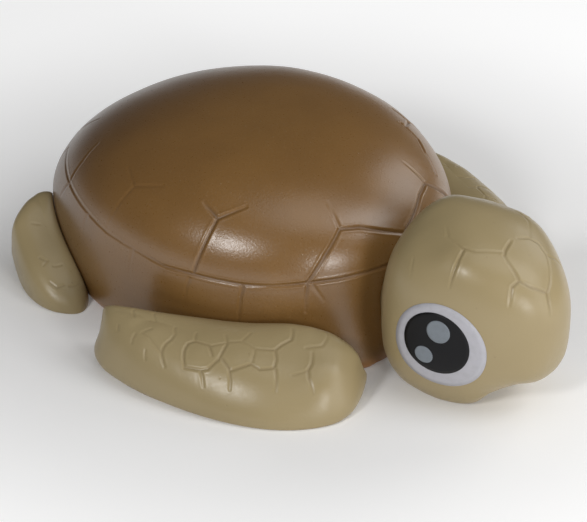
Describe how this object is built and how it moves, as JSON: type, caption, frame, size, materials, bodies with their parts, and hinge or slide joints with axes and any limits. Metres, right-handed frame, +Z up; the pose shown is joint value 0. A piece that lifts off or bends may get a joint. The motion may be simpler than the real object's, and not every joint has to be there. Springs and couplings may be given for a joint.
{
  "type": "stress toy",
  "caption": "Palm-sized foam sea turtle to squeeze: domed brown carapace with scute seams, blunt tan head with printed eyes, swept-back flippers and a flat underside.",
  "frame": {"origin": "on the flat underside, on the middle plane, a little over half way back from the nose", "axes": "+Z up out of the carapace, -Y to the nose, -X to the turtle's right"},
  "size_m": [0.0936, 0.1135, 0.0349],
  "materials": {
    "brown_coat": "satin sprayed coat on foam skin",
    "tan_foam": "satin foam skin",
    "white_ink": "smooth printed ink",
    "black_ink": "smooth printed ink",
    "grey_ink": "smooth printed ink"
  },
  "bodies": {
    "root": {"carapace": "brown_coat", "foam_core": "tan_foam", "head": "tan_foam", "front_right_flipper": "tan_foam", "front_left_flipper": "tan_foam", "rear_right_flipper": "tan_foam", "rear_left_flipper": "tan_foam", "right_eye_white": "white_ink", "left_eye_white": "white_ink", "right_pupil": "black_ink", "left_pupil": "black_ink", "right_large_glint": "grey_ink", "left_large_glint": "grey_ink", "right_small_glint": "grey_ink", "left_small_glint": "grey_ink"}
  },
  "joints": []
}
